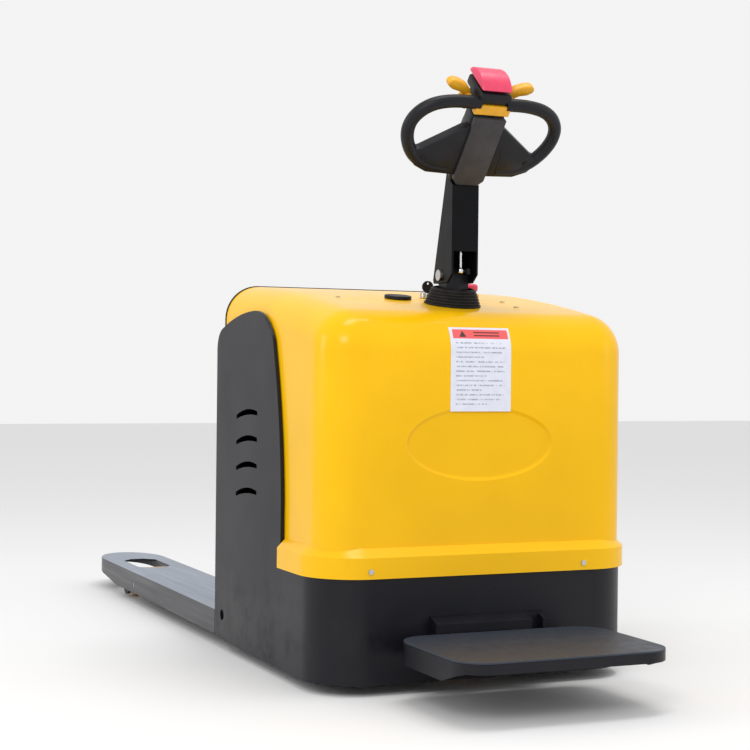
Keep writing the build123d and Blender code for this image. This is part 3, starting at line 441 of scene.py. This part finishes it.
def finishes(c):
    """Every finish by name."""
    return {
        "hood": hood_gloss(c),
        "body": body_paint(c),
        "fork": fork_paint(c),
        "grip": grained("grip_plastic", c.grip, 0.42),
        "dark": grained("dark_plastic", shade(c.grip, 0.8), 0.50),
        "cover": grained("cover_plastic", c.cover, 0.46, 1100.0, 0.0002),
        "arm": grained("arm_plastic", shade(c.grip, 0.4), 0.36, 700.0, 0.0002, 0.12),
        "trim": moulded("trim_plastic", c.trim, 0.40),
        "red": moulded("red_plastic", c.red, 0.36),
        "rubber": rubber("rubber", c.rubber),
        "mat": rubber("mat_rubber", c.mat, 0.02, 0.46),
        "steel": metal("steel", (0.42, 0.41, 0.40), 0.34),
        "zinc": metal("zinc", (0.55, 0.55, 0.54), 0.28, dirt=0.1),
        "chrome": metal("chrome", (0.72, 0.72, 0.73), 0.12, scale=300.0, dirt=0.05),
        "cast": enamel("cast_iron", (0.055, 0.055, 0.058), 0.55),
        "motor": enamel("motor_enamel", (0.020, 0.020, 0.022), 0.38),
        "urethane": urethane(c),
        "card": printed_card(c),
        "tank": moulded("tank_plastic", (0.48, 0.47, 0.42), 0.45),
        "fins": metal("cast_aluminium", (0.50, 0.50, 0.51), 0.45, scale=300.0, dirt=0.1),
        # painted shade: a near-black finish for the sheets that stand for the shade inside the ventilation
        # slots
        "slot_shade": moulded("liner_plastic", (0.004, 0.004, 0.004), 0.75),
    }


NODE_FINISH = {
    "chassis_frame": "body", "front_panel": "body", "hood": "hood", "hood_screws": "zinc",
    "instruction_card": "card", "charge_gauge": "dark", "key_switch": "zinc", "ignition_key": "dark",
    "stop_base": "trim", "stop_knob": "red", "tiller_boot": "rubber", "battery_tray": "body",
    "battery_cells": "dark", "motor_controller": "fins", "pump_motor": "motor", "hydraulic_tank": "tank",
    "lift_cylinder": "motor", "lift_rod": "chrome", "hydraulic_hose": "rubber", "pedal_bracket": "body",
    "pedal_pin": "zinc", "pedal_bumpers": "rubber", "pedal_tray": "body", "pedal_mat": "mat",
    "slew_ring_outer": "steel", "slew_ring_inner": "steel", "gearbox": "cast", "drive_motor": "motor",
    "magnetic_brake": "motor", "drive_hub": "cast", "drive_tyre": "urethane", "wheel_nuts": "zinc",
    "steering_column": "body", "tiller_pin": "zinc", "tiller_arm": "arm", "gas_spring_rod": "chrome",
    "gas_spring_tube": "motor", "head_shell": "grip", "head_cover": "cover", "head_band": "trim",
    "belly_button": "red", "throttle_paddles": "trim", "throttle_shaft": "steel", "lift_button": "dark",
    "lower_button": "dark", "horn_button": "dark", "caster_fork_left": "zinc",
    "caster_fork_right": "zinc", "caster_wheel_left": "rubber", "caster_wheel_right": "rubber",
    "fork_carriage": "fork", "crank_shaft": "steel", "push_rods": "steel", "rocker_left": "body",
    "rocker_right": "body", "load_roller_left": "urethane", "load_roller_right": "urethane",
    "roller_axle_left": "steel", "roller_axle_right": "steel", "rocker_pins": "steel",
}


FINISH = {}     # the finished materials by name


def dress(piece, finish):
    """Give a piece one finish."""
    piece.data.materials.clear()
    piece.data.materials.append(FINISH[finish])


# ---------------------------------------------------------------- stage
def aim(thing, target):
    """Turn a light or the camera towards a point."""
    thing.rotation_euler = (Vector(target) - thing.location).to_track_quat("-Z", "Y").to_euler()


def soft_light(name, place, target, power, width, height):
    """A rectangular soft light."""
    data = bpy.data.lights.new(name, "AREA")
    data.shape = "RECTANGLE"
    data.size, data.size_y = width, height
    data.energy = power
    light = bpy.data.objects.new(name, data)
    bpy.context.scene.collection.objects.link(light)
    light.location = place
    aim(light, target)


CAMERA_PLACE = (-1.57425, -3.76286, 0.66837)
CAMERA_YAW, CAMERA_PITCH, CAMERA_ROLL = (math.radians(a) for a in (23.68, -0.30, 0.62))
CAMERA_LENS, CAMERA_SENSOR, CAMERA_CLIP = 77.806, 36.0, (0.1, 50.0)
LIT_POINT = (0.0, -0.4, 0.6)
LIGHTS = (("key", (-2.6, -3.8, 3.0), 1.4, 1.4), ("fill", (3.4, -3.0, 1.6), 1.2, 1.8),
          ("top", (0.2, -1.0, 4.0), 2.6, 0.7), ("side", (-4.4, 0.4, 1.8), 1.2, 2.2))
FLOOR_HALF = 14.0


class TRUCK_OT_stage(bpy.types.Operator):
    """Camera, pale floor and soft light"""
    bl_idname = "truck.stage"
    bl_label = "Stage"

    def execute(self, context):
        s = context.scene.truck_stage
        camera = bpy.data.objects.new("camera", bpy.data.cameras.new("camera"))
        context.scene.collection.objects.link(camera)
        level = math.cos(CAMERA_PITCH)
        ahead = Vector((math.sin(CAMERA_YAW) * level, math.cos(CAMERA_YAW) * level, math.sin(CAMERA_PITCH)))
        right = Vector((math.cos(CAMERA_YAW), -math.sin(CAMERA_YAW), 0.0))
        up = right.cross(ahead)
        turned_right = right * math.cos(CAMERA_ROLL) + up * math.sin(CAMERA_ROLL)
        turned_up = up * math.cos(CAMERA_ROLL) - right * math.sin(CAMERA_ROLL)
        columns = Matrix((turned_right, turned_up, -ahead)).transposed()
        camera.matrix_world = Matrix.Translation(CAMERA_PLACE) @ columns.to_4x4()
        camera.data.sensor_width = CAMERA_SENSOR
        camera.data.lens = CAMERA_LENS
        camera.data.clip_start, camera.data.clip_end = CAMERA_CLIP
        context.scene.camera = camera

        mesh = bmesh.new()
        bmesh.ops.create_grid(mesh, x_segments=1, y_segments=1, size=FLOOR_HALF)
        floor = mesh_piece("floor", mesh)
        p = Paint("studio_floor")
        tone = p.blend(p.noise(1.5, 2.0), shade(s.floor, 0.99), shade(s.floor, 1.0))
        floor.data.materials.append(p.finish(base_color=tone, roughness=0.9))

        world = bpy.data.worlds.new("surroundings")
        context.scene.world = world
        world.use_nodes = True
        back = next(n for n in world.node_tree.nodes if n.type == "BACKGROUND")
        back.inputs["Color"].default_value = (1.0, 1.0, 1.0, 1.0)
        back.inputs["Strength"].default_value = s.sky

        context.scene.view_settings.view_transform = "Standard"
        for name, place, width, height in LIGHTS:
            soft_light(name + "_light", place, LIT_POINT, getattr(s, name), width, height)
        return {"FINISHED"}


# ---------------------------------------------------------------- piece helpers
def mesh_piece(name, mesh):
    """A new object from a finished bmesh."""
    data = bpy.data.meshes.new(name)
    mesh.to_mesh(data)
    mesh.free()
    piece = bpy.data.objects.new(name, data)
    bpy.context.scene.collection.objects.link(piece)
    return piece


def smooth(mesh, angle=32.0):
    """Smooth faces, with a crease where two faces meet at more than an angle."""
    for face in mesh.faces:
        face.smooth = True
    limit = math.radians(angle)
    for edge in mesh.edges:
        edge.smooth = len(edge.link_faces) == 2 and edge.calc_face_angle(0.0) < limit


def eased_copy(node, finish, width=0.0, angle=32.0, segments=2):
    """A clean copy of a CAD node, with rounded edges, that stands for it."""
    mesh = bmesh.new()
    mesh.from_mesh(NODES[node].data)
    bmesh.ops.remove_doubles(mesh, verts=mesh.verts, dist=1e-6)
    bmesh.ops.dissolve_limit(mesh, angle_limit=math.radians(0.6), verts=mesh.verts, edges=mesh.edges,
                             use_dissolve_boundaries=False)
    smooth(mesh, angle)
    piece = mesh_piece("v_" + node, mesh)
    if width:
        rounding = piece.modifiers.new("rounding", "BEVEL")
        rounding.width = width
        rounding.segments = segments
        rounding.limit_method = "ANGLE"
        rounding.angle_limit = math.radians(angle)
        rounding.harden_normals = True
    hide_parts(node)
    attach(piece, NODES[node]["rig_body"])
    dress(piece, finish)
    return piece


class TRUCK_OT_finishes(bpy.types.Operator):
    """Finishes on the pieces that keep their own shape"""
    bl_idname = "truck.finishes"
    bl_label = "Finishes"

    def execute(self, context):
        FINISH.update(finishes(context.scene.truck_colours))
        for node, piece in NODES.items():
            dress(piece, NODE_FINISH[node])
        return {"FINISHED"}


class TRUCK_OT_body(bpy.types.Operator):
    """Hood, side plates and the rest of the sheet metal"""
    bl_idname = "truck.body"
    bl_label = "Body"

    def execute(self, context):
        sizes = context.scene.truck_sizes
        eased_copy("hood", "hood", sizes.moulded_edge, 21.0, 3)
        for node, finish in (("chassis_frame", "body"), ("front_panel", "body"), ("fork_carriage", "fork"),
                             ("pedal_tray", "body"), ("pedal_mat", "mat"), ("pedal_bracket", "body"),
                             ("battery_tray", "body"), ("rocker_left", "body"), ("rocker_right", "body"),
                             ("steering_column", "body"), ("caster_fork_left", "zinc"),
                             ("caster_fork_right", "zinc"), ("key_switch", "zinc"), ("stop_base", "trim"),
                             ("tiller_arm", "arm"), ("drive_hub", "cast"), ("gearbox", "cast"),
                             ("charge_gauge", "dark"), ("battery_cells", "dark")):
            eased_copy(node, finish, sizes.edge)
        for node, finish in (("stop_knob", "red"), ("ignition_key", "dark"), ("belly_button", "red"),
                             ("head_band", "trim"), ("lift_button", "dark"),
                             ("lower_button", "dark"), ("horn_button", "dark")):
            eased_copy(node, finish, sizes.edge, segments=3)
        return {"FINISHED"}


# near-black sheets behind the ventilation slots, painted shade for the dark inside of the slots
SHADE_SHEET_SPAN = (0.362 - MIDDLE_Y, 0.569 - MIDDLE_Y, 0.345, 0.600)     # rear, front, bottom and top
SHADE_SHEET_X, SHADE_SHEET_THICK, SHADE_SHEET_CORNER = 0.3605, 0.0006, 0.06


class TRUCK_OT_liners(bpy.types.Operator):
    """Near-black sheets behind the ventilation slots: painted shade for the dark inside of the slots"""
    bl_idname = "truck.liners"
    bl_label = "Slot liners"

    def execute(self, context):
        rear, front, low, high = SHADE_SHEET_SPAN
        for tag, side in (("left", -1.0), ("right", 1.0)):
            mesh = bmesh.new()
            bmesh.ops.create_grid(mesh, x_segments=6, y_segments=8, size=0.5)
            corners = [v for v in mesh.verts if len(v.link_edges) == 2]
            bmesh.ops.bevel(mesh, geom=corners, offset=SHADE_SHEET_CORNER, segments=5, profile=0.5,
                            affect="VERTICES", material=-1)
            for v in mesh.verts:
                v.co = Vector((side * SHADE_SHEET_X, rear + (v.co.x + 0.5) * (front - rear),
                               low + (v.co.y + 0.5) * (high - low)))
            bmesh.ops.solidify(mesh, geom=mesh.faces[:], thickness=SHADE_SHEET_THICK)
            bmesh.ops.recalc_face_normals(mesh, faces=mesh.faces[:])
            shade_sheet = mesh_piece("slot_liner_" + tag, mesh)
            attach(shade_sheet, "chassis")
            # painted shade: the sheet is near black so that the slots look shaded
            dress(shade_sheet, "slot_shade")
        return {"FINISHED"}


# ---------------------------------------------------------------- tiller head
LEAN = math.radians(41.4)
HEAD = Matrix(((1.0, 0.0, 0.0, 0.0),
               (0.0, -math.sin(LEAN), math.cos(LEAN), 0.115 - MIDDLE_Y),
               (0.0, math.cos(LEAN), math.sin(LEAN), 1.060),
               (0.0, 0.0, 0.0, 1.0)))      # across, along the lean and into the depth of the head


def plate(mesh, outline, low, high, ease, segments=3):
    """A flat piece with rounded edges, from an outline across and along the head."""
    rim = [mesh.verts.new((x, s, low)) for x, s in outline]
    face = mesh.faces.new(rim)
    lifted = bmesh.ops.extrude_face_region(mesh, geom=[face])["geom"]
    tops = [v for v in lifted if isinstance(v, bmesh.types.BMVert)]
    bmesh.ops.translate(mesh, verts=tops, vec=(0.0, 0.0, high - low))
    both = set(rim) | set(tops)
    edges = [e for e in mesh.edges if e.verts[0] in both and e.verts[1] in both]
    bmesh.ops.bevel(mesh, geom=edges, offset=ease, segments=segments, profile=0.5, affect="EDGES",
                    clamp_overlap=True, material=-1)


def brick(mesh, x0, x1, s0, s1, t0, t1, ease, draft=0.0, segments=3):
    """A rounded block in the head's directions, narrower towards its deep side."""
    made = bmesh.ops.create_cube(mesh, size=1.0)["verts"]
    for v in made:
        deep = v.co.z > 0
        wide = 1.0 - draft * deep
        v.co = Vector(((x0 + x1) / 2 + v.co.x * (x1 - x0) * wide, (s0 + s1) / 2 + v.co.y * (s1 - s0),
                       (t0 + t1) / 2 + v.co.z * (t1 - t0)))
    edges = list({e for v in made for e in v.link_edges})
    bmesh.ops.bevel(mesh, geom=edges, offset=ease, segments=segments, profile=0.5, affect="EDGES",
                    clamp_overlap=True, material=-1)


def head_piece(name, mesh, body, finish, nodes=(), angle=40.0):
    """Finish a piece modelled in the head's directions."""
    bmesh.ops.transform(mesh, matrix=HEAD, verts=mesh.verts[:])
    bmesh.ops.recalc_face_normals(mesh, faces=mesh.faces[:])
    smooth(mesh, angle)
    piece = mesh_piece(name, mesh)
    if nodes:
        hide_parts(*nodes)
    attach(piece, body)
    dress(piece, finish)
    return piece


# outlines of the head, each point across and along it
GRIP_LINE = ((0.030, 0.196), (0.062, 0.198), (0.098, 0.196), (0.132, 0.187), (0.157, 0.168),
             (0.171, 0.142), (0.171, 0.114), (0.161, 0.087), (0.145, 0.064), (0.125, 0.046),
             (0.098, 0.037), (0.060, 0.034))
GRIP_DEPTH = 0.015
WING = ((0.030, 0.021), (0.104, 0.024), (0.134, 0.038), (0.154, 0.064), (0.149, 0.076), (0.134, 0.080),
        (0.050, 0.140), (0.030, 0.148))
WEB = ((0.056, 0.034), (0.098, 0.037), (0.118, 0.052), (0.108, 0.066), (0.052, 0.104))
COVER = ((-0.0365, 0.014), (-0.0250, 0.001), (0.0250, 0.001), (0.0365, 0.014), (0.0367, 0.169),
         (-0.0367, 0.169))
PADDLE = ((0.0410, 0.166), (0.0540, 0.163), (0.0625, 0.172), (0.0640, 0.185), (0.0600, 0.196),
          (0.0700, 0.203), (0.0880, 0.207), (0.1000, 0.215), (0.1010, 0.224), (0.0920, 0.231),
          (0.0760, 0.229), (0.0580, 0.221), (0.0460, 0.210), (0.0410, 0.200))
# blocks of the head: across, along and deep from and to, then edge radius and draft
HUB = (-0.040, 0.040, 0.0003, 0.1735, 0.0092, 0.062, 0.009, 0.22)
NECK = (-0.036, 0.036, 0.165, 0.200, 0.0182, 0.076, 0.006, 0.10)
NOSE = (-0.0372, 0.0372, 0.1972, 0.2218, 0.0062, 0.092, 0.007, 0.06)
SCREW_RADIUS, SCREW_TALL, SCREW_X, SCREW_ALONG, SCREW_DEPTH = 0.0055, 0.004, 0.122, 0.062, 0.0035


def mirrored(outline, side):
    """An outline, or its mirror image across the head, in the same turning sense."""
    points = [(side * x, s) for x, s in outline]
    return points if side > 0 else points[::-1]


class TRUCK_OT_head(bpy.types.Operator):
    """Handle loops, wings, hub and nose of the tiller head"""
    bl_idname = "truck.head"
    bl_label = "Tiller head"

    def execute(self, context):
        radius = context.scene.truck_sizes.grip
        mesh = bmesh.new()
        for side in (1.0, -1.0):
            curve = bpy.data.curves.new("grip_line", "CURVE")
            curve.dimensions = "3D"
            curve.bevel_depth, curve.bevel_resolution, curve.resolution_u = radius, 6, 8
            curve.use_fill_caps = True
            spline = curve.splines.new("NURBS")
            spline.points.add(len(GRIP_LINE) - 1)
            for point, (x, s) in zip(spline.points, GRIP_LINE):
                point.co = (side * x, s, GRIP_DEPTH, 1.0)
            spline.order_u = 4
            spline.use_endpoint_u = True
            holder = bpy.data.objects.new("grip_line", curve)
            tube = bpy.data.meshes.new_from_object(holder)
            mesh.from_mesh(tube)
            bpy.data.objects.remove(holder)
            bpy.data.curves.remove(curve)
            bpy.data.meshes.remove(tube)
            plate(mesh, mirrored(WING, side), 0.003, 0.027, 0.0045)
            plate(mesh, mirrored(WEB, side), 0.0018, 0.010, 0.003, 2)
        brick(mesh, *HUB)
        brick(mesh, *NECK)
        brick(mesh, *NOSE, segments=4)
        head_piece("handle", mesh, "tiller", "grip", ("head_shell",))

        for side, tag in ((1.0, "right"), (-1.0, "left")):
            screw = bmesh.new()
            made = bmesh.ops.create_cone(screw, cap_ends=True, segments=20, radius1=SCREW_RADIUS,
                                         radius2=SCREW_RADIUS, depth=SCREW_TALL)["verts"]
            bmesh.ops.translate(screw, verts=made, vec=(side * SCREW_X, SCREW_ALONG, SCREW_DEPTH))
            lip = [e for e in screw.edges if all(v.co.z < SCREW_DEPTH for v in e.verts)]
            bmesh.ops.bevel(screw, geom=lip, offset=0.001, segments=2, profile=0.5, affect="EDGES",
                            material=-1)
            head_piece("wing_screw_" + tag, screw, "tiller", "dark")

        mesh = bmesh.new()
        plate(mesh, COVER, -0.004, 0.0087, 0.003)
        head_piece("cover", mesh, "tiller", "cover", ("head_cover",))

        mesh = bmesh.new()
        for side in (1.0, -1.0):
            plate(mesh, mirrored(PADDLE, side), 0.0396, 0.0596, 0.0058, 4)
            brick(mesh, *sorted((side * 0.0408, side * 0.0560)), 0.166, 0.203, 0.033, 0.062, 0.006, 0.1)
        head_piece("paddles", mesh, "throttle", "trim", ("throttle_paddles",), 50.0)
        return {"FINISHED"}


# ---------------------------------------------------------------- boot
BOOT_BASE = Vector((0.0, 0.175 - MIDDLE_Y, 0.8051))
BOOT_LEAN = math.radians(9.62)
BOOT_HEIGHT, BOOT_FOOT, BOOT_CROWN, BOOT_GROOVE = 0.037, 0.062, 0.050, 0.0048


class TRUCK_OT_boot(bpy.types.Operator):
    """Rubber bellows round the foot of the tiller"""
    bl_idname = "truck.boot"
    bl_label = "Boot"

    def execute(self, context):
        rings = context.scene.truck_sizes.boot_rings
        step = BOOT_HEIGHT / rings
        line = [(BOOT_FOOT - 0.008, 0.0)]
        for i in range(rings):
            outer = BOOT_FOOT + (BOOT_CROWN - BOOT_FOOT) * i / (rings - 1)
            base = i * step
            line += [(outer - 0.0008, base), (outer, base + step * 0.12), (outer, base + step * 0.44),
                     (outer - 0.0009, base + step * 0.58), (outer - BOOT_GROOVE, base + step * 0.66),
                     (outer - BOOT_GROOVE, base + step * 0.94)]
        line += [(BOOT_CROWN - 0.0075, BOOT_HEIGHT), (BOOT_CROWN - 0.0075, BOOT_HEIGHT - 0.004),
                 (BOOT_FOOT - 0.008, 0.0005)]
        mesh = bmesh.new()
        points = [mesh.verts.new((r, 0.0, z)) for r, z in line]
        edges = [mesh.edges.new(pair) for pair in zip(points, points[1:])]
        bmesh.ops.spin(mesh, geom=points + edges, cent=(0.0, 0.0, 0.0), axis=(0.0, 0.0, 1.0), steps=72,
                       angle=math.tau, use_merge=True)
        bmesh.ops.remove_doubles(mesh, verts=mesh.verts[:], dist=1e-6)
        bmesh.ops.transform(mesh, matrix=Matrix.Translation(BOOT_BASE) @ Matrix.Rotation(BOOT_LEAN, 4, "X"),
                            verts=mesh.verts[:])
        bmesh.ops.recalc_face_normals(mesh, faces=mesh.faces[:])
        smooth(mesh, 35.0)
        boot = mesh_piece("boot", mesh)
        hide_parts("tiller_boot")
        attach(boot, "chassis")
        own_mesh(boot)
        dress(boot, "rubber")
        return {"FINISHED"}


STEPS = ("finishes", "stage", "body", "liners", "head", "boot")
CLASSES = (TruckColours, TruckSizes, TruckStage, TRUCK_OT_stage, TRUCK_OT_finishes, TRUCK_OT_body,
           TRUCK_OT_liners, TRUCK_OT_head, TRUCK_OT_boot)


class TRUCK_PT_panel(bpy.types.Panel):
    """Buttons that build the truck piece by piece"""
    bl_idname = "TRUCK_PT_panel"
    bl_label = "Pallet truck"
    bl_space_type = "VIEW_3D"
    bl_region_type = "UI"
    bl_category = "Truck"

    def draw(self, context):
        for step in STEPS:
            self.layout.operator("truck." + step)


def register():
    for each in (*CLASSES, TRUCK_PT_panel):
        bpy.utils.register_class(each)
    bpy.types.Scene.truck_colours = PointerProperty(type=TruckColours)
    bpy.types.Scene.truck_sizes = PointerProperty(type=TruckSizes)
    bpy.types.Scene.truck_stage = PointerProperty(type=TruckStage)


def unregister():
    del bpy.types.Scene.truck_stage
    del bpy.types.Scene.truck_sizes
    del bpy.types.Scene.truck_colours
    for each in reversed((*CLASSES, TRUCK_PT_panel)):
        bpy.utils.unregister_class(each)


def main():
    """Build every piece round the frame."""
    register()
    for thing in list(bpy.data.objects):
        if thing.type in {"LIGHT", "CAMERA"}:
            bpy.data.objects.remove(thing)
    for step in STEPS:
        getattr(bpy.ops.truck, step)()


if __name__ == "__main__":
    main()
